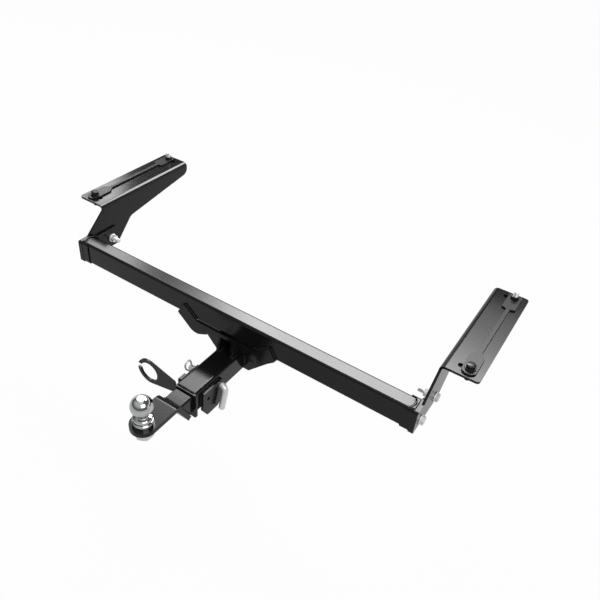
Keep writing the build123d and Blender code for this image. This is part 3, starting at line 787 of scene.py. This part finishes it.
@dataclass
class Fasteners(SubAssembly):
    """The M12 bolts, studs, washers and nuts of both brackets."""

    thread: Thread = Thread(6.0, 1.75)
    head_af: float = 18.0
    head_h: float = 7.5
    head_overlap: float = 0.2
    plain: float = 6.0
    proud: float = 14.0
    nut_h: float = 10.0
    thin_nut_h: float = 6.0
    nut_bite: float = 0.3
    washer_r: float = 12.0
    washer_t: float = 2.5
    hole_r: float = 6.5
    shade_plate_reach: Triple = (17.0, 29.0, 16.0)

    def bolt(self, length: float) -> Shape:
        """A bolt along Z whose head stands on height 0 and whose thread hangs below it.

        Args:
            length: the shank's length under the head.

        Returns:
            The bolt.
        """
        shape = Shape()
        shape.add(hexagonal(self.head_af, 0.0, self.head_h))
        shape.add(self.thread.rod(-length, self.head_overlap, self.plain))
        return shape

    def nut(self, height: float) -> Shape:
        """A nut along Z standing on height 0."""
        bore = self.thread.radius - self.nut_bite
        return hexagonal(self.head_af, 0.0, height, bore, both_ends=True)

    def washer(self) -> Shape:
        """A washer along Z standing on height 0."""
        return washer(self.washer_r, self.hole_r, 0.0, self.washer_t)

    def build(self) -> None:
        """Builds each group of fasteners in place of its CAD node."""
        self.build_side_groups()
        self.build_flange_groups()

    def build_side_groups(self) -> None:
        """Bolts through the webs and end plates, heads outboard."""
        low, high = node_box_mm("side_bolts")
        cap_end = node_box_mm("right_end_plate")[0][0]
        beam_end = node_box_mm("cross_beam")[1][0]
        half_flats, half_corners = self.head_af / 2, self.head_af / math.sqrt(3)
        front = (low[1] + half_flats, low[2] + half_corners)
        rear = (high[1] - half_flats, high[2] - half_corners)
        head_x = high[0] - self.head_h
        inner_x = cap_end - self.washer_t
        bolts, washers, nuts = Shape(), Shape(), Shape()
        for side in Side:
            out = Axis.PLUS_X if side is Side.RIGHT else Axis.MINUS_X
            for spot, seat in ((front, beam_end), (rear, inner_x)):
                nut_x = seat - self.nut_h
                bolt = self.bolt(head_x - (nut_x - self.proud))
                bolts.add(bolt, standing(on_side(side, (head_x, *spot)), out))
                under_head = on_side(side, (head_x - self.washer_t, *spot))
                washers.add(self.washer(), standing(under_head, out))
                nuts.add(self.nut(self.nut_h), standing(on_side(side, (nut_x, *spot)), out))
            washers.add(self.washer(), standing(on_side(side, (inner_x, *rear)), out))
        self.place(bolts, "side_bolts_threaded", "hitch", Slot.ZINC, "side_bolts")
        self.place(washers, "side_washers_rounded", "hitch", Slot.ZINC, "side_washers")
        self.place(nuts, "side_nuts_chamfered", "hitch", Slot.ZINC, "side_nuts")

    def build_flange_groups(self) -> None:
        """Bolts, studs, washers and nuts through the flanges and insert plates, and dark plates
        under the slots as painted shade.
        """
        bolt_low, bolt_high = node_box_mm("flange_bolts")
        stud_low, stud_high = node_box_mm("flange_studs")
        bolt_y = (bolt_low[1] + bolt_high[1]) / 2
        stud_y = (stud_low[1] + stud_high[1]) / 2
        x = bolt_high[0] - self.head_af / 2
        pad_top = node_box_mm("right_insert_plate")[1][2]
        head_z = pad_top + self.washer_t
        under = node_box_mm("flange_nuts")[1][2]
        bolt = self.bolt(head_z - bolt_low[2])
        stud = self.bolt(stud_high[2] - under)
        up = Axis.PLUS_Z
        bolts, studs, nuts, thin, washers = Shape(), Shape(), Shape(), Shape(), Shape()
        for side in Side:
            bolts.add(bolt, standing(on_side(side, (x, bolt_y, head_z)), up))
            lower = on_side(side, (x, bolt_y, under - self.nut_h))
            nuts.add(self.nut(self.nut_h), standing(lower, up))
            studs.add(stud, standing(on_side(side, (x, stud_y, under)), Axis.MINUS_Z))
            upper = on_side(side, (x, stud_y, pad_top))
            thin.add(self.nut(self.thin_nut_h), standing(upper, up))
            washers.add(self.washer(), standing(on_side(side, (x, bolt_y, pad_top)), up))
            # The plates under the slots are painted shade: their dark finish shows each slot dark
            # where the floor would show through.
            outboard, inboard, wide = self.shade_plate_reach
            mirrored = side is Side.LEFT
            reach = (inboard, outboard, wide) if mirrored else (outboard, inboard, wide)
            plate = shade_slot_plate(reach, self.hole_r, self.washer_t)
            for y in (bolt_y, stud_y):
                washers.add(plate, standing(on_side(side, (x, y, under)), up))
        self.place(bolts, "flange_bolts_threaded", "hitch", Slot.DARK, "flange_bolts")
        self.place(studs, "flange_studs_threaded", "hitch", Slot.ZINC, "flange_studs")
        self.place(nuts, "flange_nuts_chamfered", "hitch", Slot.ZINC, "flange_nuts")
        self.place(thin, "stud_nuts_chamfered", "hitch", Slot.DARK, "stud_nuts")
        self.place(washers, "flange_washers_rounded", "hitch", Slot.DARK, "flange_washers")


@dataclass
class BallMount(SubAssembly):
    """The coupling ball with its washer and nut."""

    ball_r: float = 25.0
    flat_r: float = 9.0
    flat_edge: float = 0.4
    neck_r: float = 13.5
    collar_r: float = 21.5
    collar_h: float = 8.0
    groove_r: float = 17.5
    base_r: float = 24.0
    base_h: float = 13.0
    stem: Thread = Thread(11.0, 2.5)
    stem_plain: float = 12.0
    stem_overlap: float = 0.5
    nut_af: float = 38.0
    nut_bite: float = 0.5
    ball_sides: int = 128
    ball_rows: int = 60
    stem_sides: int = 64
    corner_steps: int = 5

    def build(self) -> None:
        """Builds the ball, its washer and its nut in place of their CAD nodes."""
        plate_top = node_box_mm("ball_plate")[1][2]
        washer_low, washer_high = node_box_mm("ball_washer")
        nut_low, nut_high = node_box_mm("ball_nut")
        stem_end = node_box_mm("coupling_ball")[0][2]
        stem_top = plate_top + self.stem_overlap
        shape = turned(self.ball_profile(plate_top), self.ball_sides)
        shape.add(self.stem.rod(stem_end, stem_top, self.stem_plain, self.stem_sides))
        self.place(shape, "coupling_ball_turned", "hitch", Slot.CHROME, "coupling_ball")
        ring = washer(washer_high[0], self.stem.radius, washer_low[2], washer_high[2])
        self.place(ring, "ball_washer_rounded", "hitch", Slot.ZINC, "ball_washer")
        bore = self.stem.radius - self.nut_bite
        nut = hexagonal(self.nut_af, nut_low[2], nut_high[2], bore, both_ends=True)
        self.place(nut, "ball_nut_chamfered", "hitch", Slot.ZINC, "ball_nut")

    def ball_profile(self, plate_top: float) -> np.ndarray:
        """Radius and height from the ball's top to the middle of its foot.

        The sphere is (r cos a, r sin a), from the flat on top down to the neck. Below it
        come the neck, the collar, the groove and the base, as corners (radius, height,
        rounding).

        Args:
            plate_top: height of the plate that the foot stands on.

        Returns:
            Profile points, shape (n, 2).
        """
        top = math.acos(self.flat_r / self.ball_r)
        neck = -math.acos(self.neck_r / self.ball_r)
        angle = np.linspace(top, neck, self.ball_rows)
        sphere = self.ball_r * np.stack([np.cos(angle), np.sin(angle)], axis=1)
        base_top = plate_top + self.base_h
        base_cut = self.base_h / 6
        collar_low = base_top + self.base_h / 4
        collar_top = collar_low + self.collar_h
        collar_cut = self.collar_h / 4
        neck_foot = collar_top + (self.collar_r - self.neck_r) / 4
        corners = np.array([
            (*sphere[-1], 0.0),
            (self.neck_r, neck_foot, 1.5),
            (self.collar_r - collar_cut, collar_top, 1.0),
            (self.collar_r, collar_top - collar_cut, 1.0),
            (self.collar_r, collar_low, 0.8),
            (self.groove_r, collar_low, 0.6),
            (self.groove_r, base_top, 0.6),
            (self.base_r - base_cut, base_top, 1.0),
            (self.base_r, base_top - base_cut, 1.0),
            (self.base_r, plate_top, 0.3),
            (0.0, plate_top, 0.0),
        ])
        foot = rounded(corners[:, :2], corners[1:-1, 2], self.corner_steps)
        flat_z = sphere[0, 1]
        flat = np.array([(0.0, flat_z), (self.flat_r - self.flat_edge, flat_z)])
        return np.vstack([flat, sphere, foot[1:]])


@dataclass
class PinAndClip(SubAssembly):
    """The bent hitch pin and the spring clip through its end."""

    pin_r: float = 8.0
    bend_r: float = 14.0
    drop: float = 62.0
    lean: float = 15.0
    pin_chamfer: float = 2.0
    wire_r: float = 2.25
    wire_chamfer: float = 0.8
    clip_lean: float = 14.3
    tail: float = 14.0
    loop_r: float = 10.0
    loop_slack: float = 0.1
    reach: float = 21.3
    side_gap: float = 0.4
    bend_steps: int = 14
    pin_sides: int = 48
    wire_sides: int = 20
    tip_step: float = 1e-4

    def build(self) -> None:
        """Builds the pin and the clip in place of their CAD nodes."""
        low, high = node_box_mm("hitch_pin")
        axis_y, axis_z = high[1] - self.pin_r, high[2] - self.pin_r
        elbow = node_box_mm("right_receiver_lug")[1][0] + self.bend_r
        lean = math.radians(self.lean)
        fall = self.drop * np.array([0.0, -math.sin(lean), -math.cos(lean)])
        corner = np.array([elbow, axis_y, axis_z])
        corners = np.array([(low[0], axis_y, axis_z), corner, corner + fall])
        path = rounded(corners, [self.bend_r], self.bend_steps)
        normal = np.cross((1, 0, 0), fall)
        pin = self.rod(path, self.pin_r, self.pin_chamfer, normal, self.pin_sides)
        self.place(pin, "hitch_pin_swept", "pin", Slot.ZINC, "hitch_pin")
        clip_low, clip_high = node_box_mm("pin_clip")
        centre = np.array([(clip_low[0] + clip_high[0]) / 2, axis_y, axis_z])
        line = self.clip_path(centre)
        clip = self.rod(line, self.wire_r, self.wire_chamfer, (1, 0, 0), self.wire_sides)
        self.place(clip, "pin_clip_swept", "clip", Slot.ZINC, "pin_clip")

    def rod(
        self, path: np.ndarray, radius: float, chamfer: float, normal: Point, sides: int,
    ) -> Shape:
        """A rod along a path with chamfered ends.

        Its radius rises from 0 to radius - chamfer at each end face, and over the chamfer's
        length to the full radius.

        Args:
            path: the centre line.
            radius: the rod's radius.
            chamfer: length of each end's cone.
            normal: normal of the path's plane.
            sides: steps round the rod.

        Returns:
            The closed shape.
        """
        start, end = path[0], path[-1]
        ahead = (path[1] - start) / np.linalg.norm(path[1] - start)
        back = (path[-2] - end) / np.linalg.norm(path[-2] - end)
        first = [start - ahead * self.tip_step, start, start + ahead * chamfer]
        last = [end + back * chamfer, end, end - back * self.tip_step]
        line = np.vstack([*first, path[1:-1], *last])
        radii = np.full(len(line), radius)
        radii[[0, -1]] = 0
        radii[[1, -2]] = radius - chamfer
        return carried(line, radii, normal, sides)

    def clip_path(self, centre: np.ndarray) -> np.ndarray:
        """Centre line of the clip: a leg through the pin, a loop and a leg beside the pin.

        Args:
            centre: where the straight leg crosses the pin's axis.

        Returns:
            Points in the row frame, in millimetres.
        """
        side = self.pin_r + self.wire_r + self.side_gap
        wire_d = 2 * self.wire_r
        width = 2 * self.loop_r
        top = self.reach + width
        flat = np.array([
            (0, -(self.pin_r + self.tail)),
            (0, top),
            (width, top),
            (width, self.reach),
            (side, self.pin_r / 2),
            (side + wire_d, -self.pin_r - wire_d),
        ])
        loop = self.loop_r - self.loop_slack
        line = rounded(flat, [loop, loop, 3 * wire_d, 2 * wire_d], self.bend_steps)
        lean = math.radians(self.clip_lean)
        across = np.array([0, -math.cos(lean), -math.sin(lean)])
        along = np.array([0, -math.sin(lean), math.cos(lean)])
        return centre + line[:, :1] * across + line[:, 1:] * along


@dataclass
class Welds(SubAssembly):
    """The weld runs that join the painted plates and tubes."""

    bead: WeldBead = WeldBead()
    fine: WeldBead = WeldBead(1.9, 1.8)
    leg_bead: WeldBead = WeldBead(3.6, 2.6)
    notch_bead: WeldBead = WeldBead(5.0, 2.8, 0.02)
    seam_bead: WeldBead = WeldBead(3.1, 3.4, 0.02)
    sunk: float = 0.6
    beside: float = 0.3
    tube_corner: float = 7.0
    tube_end: float = 6.0
    riser_lift: float = 0.4
    riser_end: float = 3.0
    riser_head_ends: Pair = (6.0, 7.0)
    ear_top: Pair = (125.0, 31.0)
    ear_foot: Pair = (88.0, 1.0)
    tip_top: Pair = (129.0, 31.0)
    tip_foot: Pair = (143.0, 7.0)
    ear_sunk: float = 0.8
    notch_r: float = 20.5
    notch_shift: float = 2.0
    notch_reach: float = 1.5
    notch_inset: float = 3.6
    notch_sunk: float = 3.9
    notch_turn: Pair = (-1.28, 1.0)
    notch_steps: int = 40
    seam_sunk: float = 2.5
    seam_end: float = 1.0
    back_proud: float = 2.2
    back_ends: Pair = (8.0, 6.0)
    bar_slant: float = 60.0
    leg_proud: float = 0.6
    leg_end: float = 3.0
    slant_inset: float = 1.2
    slant_end: float = 2.0
    lug_top_ends: Pair = (4.0, 20.0)
    lug_front_ends: Pair = (4.0, 8.0)

    def build(self) -> None:
        """Lays every weld run."""
        self.build_receiver_welds()
        self.build_riser_welds()
        self.build_front_plate_welds()
        self.build_end_welds()
        self.build_ball_plate_welds()
        self.build_lug_welds()

    def lay_both(
        self, shape: Shape, bead: WeldBead, corners: Sequence[Point], normal: Point,
    ) -> None:
        """Lays a run on the right side and its mirror image on the left.

        Args:
            shape: the shape that takes the runs.
            bead: the kind of bead.
            corners: the right run's corners.
            normal: normal of the plane that holds the run.
        """
        for side in Side:
            shape.add(bead.along([on_side(side, corner) for corner in corners], normal))

    def build_receiver_welds(self) -> None:
        """Runs round the receiver's back end and behind its mouth plate."""
        low, high = node_box_mm("receiver_tube")
        side_x, top = high[0], high[2]
        reach = side_x - self.tube_end
        upper, lower = top - self.tube_corner, low[2] + self.tube_corner
        shape = Shape()
        for y in (high[1] - self.sunk, low[1] + self.sunk):
            shape.add(self.bead.along([(-reach, y, top), (reach, y, top)], (0, 0, 1)))
            down = [(side_x, y, upper), (side_x, y, lower)]
            self.lay_both(shape, self.bead, down, (1, 0, 0))
        self.place(shape, "receiver_welds", "hitch", Slot.PAINT)

    def build_riser_welds(self) -> None:
        """Runs at the riser plates' feet, on the receiver, and at their heads, on the beam."""
        low, high = node_box_mm("right_riser_plate")
        tube_top = node_box_mm("receiver_tube")[1][2]
        beam_low = node_box_mm("cross_beam")[0]
        foot_y = (low[1] + self.riser_end, high[1] - self.riser_end)
        head_y = (beam_low[1] + self.riser_head_ends[0], high[1] - self.riser_head_ends[1])
        foot_z, head_z = tube_top + self.riser_lift, beam_low[2] - self.riser_lift
        shape = Shape()
        for x in (low[0] - self.beside, high[0] + self.beside):
            for ends, z in ((foot_y, foot_z), (head_y, head_z)):
                self.lay_both(shape, self.bead, [(x, y, z) for y in ends], (0, 0, 1))
        self.place(shape, "riser_welds", "hitch", Slot.PAINT)

    def build_front_plate_welds(self) -> None:
        """Runs down both edges of the front plate's ears, on the beam's front face."""
        y = node_box_mm("front_plate")[1][1] - self.ear_sunk
        base = node_box_mm("cross_beam")[0][2]
        runs = ((self.bead, self.ear_top, self.ear_foot), (self.fine, self.tip_top, self.tip_foot))
        shape = Shape()
        for bead, *ends in runs:
            self.lay_both(shape, bead, [(x, y, base + rise) for x, rise in ends], (0, 1, 0))
        self.place(shape, "front_plate_welds", "hitch", Slot.PAINT)

    def build_end_welds(self) -> None:
        """Runs in the caps' notches, and between each end plate and its cap.

        A notch's run is an arc: (cos t, sin t) times its radius, round the notch's centre.
        """
        low, high = node_box_mm("cross_beam")
        centre_x = high[0] + self.notch_reach - self.notch_r
        centre_y = (low[1] + high[1]) / 2 - self.notch_shift
        angle = np.linspace(*self.notch_turn, self.notch_steps)
        radius = self.notch_r - self.notch_inset
        level = np.full(len(angle), high[2] - self.notch_sunk)
        arc = np.stack([
            centre_x + radius * np.cos(angle), centre_y + radius * np.sin(angle), level,
        ], axis=1)
        notch, seams = Shape(), Shape()
        self.lay_both(notch, self.notch_bead, arc, (0, 0, 1))
        x = node_box_mm("right_end_plate")[0][0] + self.sunk
        z = high[2] - self.seam_sunk
        top = [(x, low[1] + self.seam_end, z), (x, high[1] - self.seam_end, z)]
        self.lay_both(seams, self.seam_bead, top, (0, 0, 1))
        y = high[1] + self.back_proud
        back = [(x, y, high[2] - self.back_ends[0]), (x, y, low[2] + self.back_ends[1])]
        self.lay_both(seams, self.fine, back, (0, 1, 0))
        self.place(notch, "cap_notch_welds", "hitch", Slot.PAINT)
        self.place(seams, "end_plate_welds", "hitch", Slot.PAINT)

    def build_ball_plate_welds(self) -> None:
        """Runs round the tongue bar's slanted end, against the ball plate's leg."""
        low, high = node_box_mm("tongue_bar")
        slant = (high[2] - low[2]) / math.tan(math.radians(self.bar_slant))
        edge = high[0] - self.leg_end
        y, z = low[1] - self.beside, high[2] + self.leg_proud
        shape = Shape()
        shape.add(self.leg_bead.along([(-edge, y, z), (edge, y, z)], (0, 0, 1)))
        x = high[0] + self.beside
        head = (x, low[1] + self.slant_inset, high[2] - self.slant_end)
        foot = (x, low[1] + slant - self.slant_inset, low[2] + self.slant_end)
        self.lay_both(shape, self.bead, [head, foot], (1, 0, 0))
        self.place(shape, "ball_plate_welds", "hitch", Slot.PAINT)

    def build_lug_welds(self) -> None:
        """Runs along the tops and fronts of the side lugs, on the receiver's sides."""
        low, high = node_box_mm("right_receiver_lug")
        tube_low, tube_high = node_box_mm("receiver_tube")
        x, y, z = tube_high[0] + self.beside, low[1] - self.beside, high[2] + self.beside
        near, far = self.lug_top_ends
        upper, lower = self.lug_front_ends
        shape = Shape()
        top = [(x, low[1] + near, z), (x, high[1] - far, z)]
        self.lay_both(shape, self.fine, top, (0, 0, 1))
        front = [(x, y, high[2] - upper), (x, y, tube_low[2] + lower)]
        self.lay_both(shape, self.fine, front, (0, 1, 0))
        self.place(shape, "lug_welds", "hitch", Slot.PAINT)


# Studio


@dataclass(frozen=True)
class SoftBox:
    """A rectangular studio lamp, as a piece of a flat wall of light that faces a point."""

    name: str
    across: Pair
    up: Pair
    radiance: float
    azimuth: float = 0.0
    elevation: float = 42.0
    distance: float = 3.0

    def build(self, target: Vector) -> None:
        """Hangs the lamp in its wall.

        The wall's middle lies at the distance from the target, at an azimuth from +Y towards
        +X and an elevation, and the lamp spans two ranges from there, sideways and upwards.

        Args:
            target: the point that the wall faces.
        """
        turn, rise = math.radians(self.azimuth), math.radians(self.elevation)
        level = math.cos(rise)
        away = Vector((math.sin(turn) * level, math.cos(turn) * level, math.sin(rise)))
        sideways = Vector((math.cos(turn), -math.sin(turn), 0.0))
        upwards = sideways.cross(away)
        data = bpy.data.lights.new(self.name, "AREA")
        data.shape = "RECTANGLE"
        data.size = self.across[1] - self.across[0]
        data.size_y = self.up[1] - self.up[0]
        data.energy = self.radiance * math.pi * data.size * data.size_y
        lamp = bpy.data.objects.new(self.name, data)
        middle = sideways * (sum(self.across) / 2) + upwards * (sum(self.up) / 2)
        facing = Matrix((sideways, upwards, away)).transposed().to_4x4()
        lamp.matrix_world = Matrix.Translation(target + away * self.distance + middle) @ facing
        bpy.context.scene.collection.objects.link(lamp)


@dataclass
class Studio:
    """Pale floor, soft light and the camera at the photograph's angle, all in metres."""

    eye: Triple = (0.6834, -0.6156, 1.0146)
    look: Triple = (-0.39999, 0.67798, -0.61672)
    up: Triple = (-0.39105, 0.48233, 0.78386)
    lens: float = 37.944
    sensor: float = 36.0
    shift: Pair = (0.02514, -0.00822)
    clip_start: float = 0.01
    target: Triple = (0.0, 0.35, 0.0)
    room_level: float = 0.12
    backdrop_level: float = 0.9
    backdrop_y: Pair = (0.0, 0.5)
    backdrop_z: Pair = (0.26, 0.38)
    front_level: float = 0.55
    front_y: Pair = (-0.35, 0.05)
    front_z: Pair = (0.12, 0.62)
    ceiling_level: float = 1.0
    ceiling_z: Pair = (0.88, 0.97)
    floor_z: float = -0.32
    floor_half: float = 9.0
    floor_grey: float = 0.42
    floor_rough: float = 0.9
    floor_glow: float = 0.975
    floor_mirrored: Pair = (0.2, 0.1)
    floor_near: Pair = (1.2, 2.8)
    floor_far: Pair = (3.0, 6.0)

    def build(self) -> None:
        """Sets the camera, the lamps, the world and the floor."""
        self.build_camera()
        self.build_world()
        self.build_floor()
        for box in self.soft_boxes():
            box.build(Vector(self.target))
        bpy.context.scene.view_settings.view_transform = "Standard"

    def soft_boxes(self) -> list[SoftBox]:
        """The lamps: a wall of soft boxes behind the object, for its tops, and a fill in front.

        The wall is dim in its gap, which the tops mirror as the beam's darker stretch.

        Returns:
            The lamps, each with its place in its wall in metres, and its radiance.
        """
        return [
            SoftBox("wall_middle", (-1.45, 0.0), (0.0, 0.95), 17.5),
            SoftBox("gap_right_edge", (-1.65, -1.45), (0.0, 0.48), 13.0),
            SoftBox("gap_right", (-1.85, -1.65), (0.0, 0.48), 8.5),
            SoftBox("gap_middle", (-2.1, -1.85), (0.0, 0.48), 3.2),
            SoftBox("gap", (-2.42, -2.1), (0.0, 0.48), 1.3),
            SoftBox("gap_left", (-2.55, -2.42), (0.0, 0.48), 4.0),
            SoftBox("wall_left_upper", (-2.45, -1.45), (0.48, 0.95), 7.5),
            SoftBox("wall_left", (-3.02, -2.55), (0.0, 0.95), 8.0),
            SoftBox("wall_far_left", (-3.6, -3.02), (0.0, 0.95), 5.0),
            SoftBox("wall_right", (0.0, 0.6), (0.05, 0.8), 13.0),
            SoftBox("wall_top", (-2.6, -1.2), (0.95, 1.6), 2.2),
            SoftBox("foot_right", (-0.2, 0.6), (-0.14, 0.05), 6.5),
            SoftBox("foot_right_low", (-0.2, 0.6), (-0.4, -0.14), 2.8),
            SoftBox("foot_left", (-3.4, -2.93), (-0.24, 0.0), 7.5),
            SoftBox("fill", (-1.1, 1.1), (-0.8, 0.8), 3.0, 120.0, 42.0, 3.2),
        ]

    def build_camera(self) -> None:
        """Places the camera from its solved eye point and directions."""
        look, up = Vector(self.look).normalized(), Vector(self.up).normalized()
        right = look.cross(up).normalized()
        turn = Matrix((right, right.cross(look), -look)).transposed().to_4x4()
        data = bpy.data.cameras.new("camera")
        data.lens = self.lens
        data.sensor_width = self.sensor
        data.shift_x, data.shift_y = self.shift
        data.clip_start = self.clip_start
        camera = bpy.data.objects.new("camera", data)
        camera.matrix_world = Matrix.Translation(Vector(self.eye)) @ turn
        bpy.context.scene.collection.objects.link(camera)
        bpy.context.scene.camera = camera

    def build_world(self) -> None:
        """A dim room, paler in front and above, with a pale backdrop; the camera sees it white.

        With (x, y, z) the direction looked in, the backdrop's share rises with y over
        backdrop_y, times a share that falls with z over backdrop_z. The front's share falls
        with y over front_y, times one that rises with z over front_z. The ceiling's rises
        with z over ceiling_z, and the brightest of them holds.
        """
        world = bpy.data.worlds.new("studio_world")
        world.use_nodes = True
        graph = NodeGraph(world.node_tree)
        back = world.node_tree.nodes["Background"]
        back.inputs["Color"].default_value = (1.0, 1.0, 1.0, 1.0)
        parts = graph.add("SeparateXYZ")
        graph.link(graph.place("Generated"), parts.inputs[0])
        y, z = parts.outputs["Y"], parts.outputs["Z"]
        behind = graph.ramp(y, self.backdrop_y, (0.0, 1.0))
        share = graph.combine("MULTIPLY", behind, graph.ramp(z, self.backdrop_z, (1.0, 0.0)))
        level = graph.ramp(share, (0.0, 1.0), (self.room_level, self.backdrop_level))
        front = graph.ramp(y, self.front_y, (self.front_level, 0.0))
        front = graph.combine("MULTIPLY", front, graph.ramp(z, self.front_z, (0.0, 1.0)))
        above = graph.ramp(z, self.ceiling_z, (0.0, self.ceiling_level))
        for other in (front, above, graph.add("LightPath").outputs["Is Camera Ray"]):
            level = graph.combine("MAXIMUM", level, other)
        graph.link(level, back.inputs["Strength"])
        bpy.context.scene.world = world

    def build_floor(self) -> None:
        """A pale floor that keeps a faint shadow, near white to the camera and pale in mirrors.

        The share of its own white is large for the camera, and less in reflections, where it
        falls off with the distance from the object, as a lit floor does, up to the backdrop.
        """
        half, z = self.floor_half, self.floor_z
        corners = [(-half, -half, z), (half, -half, z), (half, half, z), (-half, half, z)]
        mesh = bpy.data.meshes.new("floor")
        mesh.from_pydata(corners, [], [(0, 1, 2, 3)])
        mesh.materials.append(self.floor_material())
        floor = bpy.data.objects.new("floor", mesh)
        bpy.context.scene.collection.objects.link(floor)

    def floor_material(self) -> bpy.types.Material:
        """The floor's finish: matt grey that takes light, mixed with a glow of its own.

        Returns:
            The material.
        """
        material = bpy.data.materials.new("pale_floor")
        material.use_nodes = True
        graph = NodeGraph(material.node_tree)
        nodes = material.node_tree.nodes
        shader = nodes["Principled BSDF"]
        shader.inputs["Base Color"].default_value = (*[self.floor_grey] * 3, 1.0)
        shader.inputs["Roughness"].default_value = self.floor_rough
        length = graph.add("VectorMath")
        length.operation = "LENGTH"
        graph.link(graph.place("Object"), length.inputs[0])
        away = length.outputs["Value"]
        near = graph.ramp(away, self.floor_near, self.floor_mirrored)
        far = graph.ramp(away, self.floor_far, (0.0, self.backdrop_level))
        path = graph.add("LightPath").outputs
        indirect = graph.combine(
            "MAXIMUM", path["Is Glossy Ray"], path["Is Transmission Ray"],
        )
        mirrored = graph.combine("MULTIPLY", indirect, graph.combine("MAXIMUM", near, far))
        direct = graph.combine("MULTIPLY", path["Is Camera Ray"], self.floor_glow)
        mix = graph.add("MixShader")
        graph.link(graph.combine("MAXIMUM", direct, mirrored), mix.inputs[0])
        graph.link(shader.outputs[0], mix.inputs[1])
        graph.link(graph.add("Emission").outputs[0], mix.inputs[2])
        graph.link(mix.outputs[0], nodes["Material Output"].inputs["Surface"])
        return material


def main() -> None:
    """Loads the frame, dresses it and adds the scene's own pieces."""
    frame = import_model()
    finishes = Finishes()
    finishes.build()
    finishes.dress_nodes(frame)
    for assembly in (Fasteners, BallMount, PinAndClip, Welds):
        assembly(finishes).build()
        LOG.info("%s done", assembly.__name__)
    Studio().build()


if __name__ == "__main__":
    logging.basicConfig(level=logging.INFO, format="%(name)s: %(message)s")
    main()
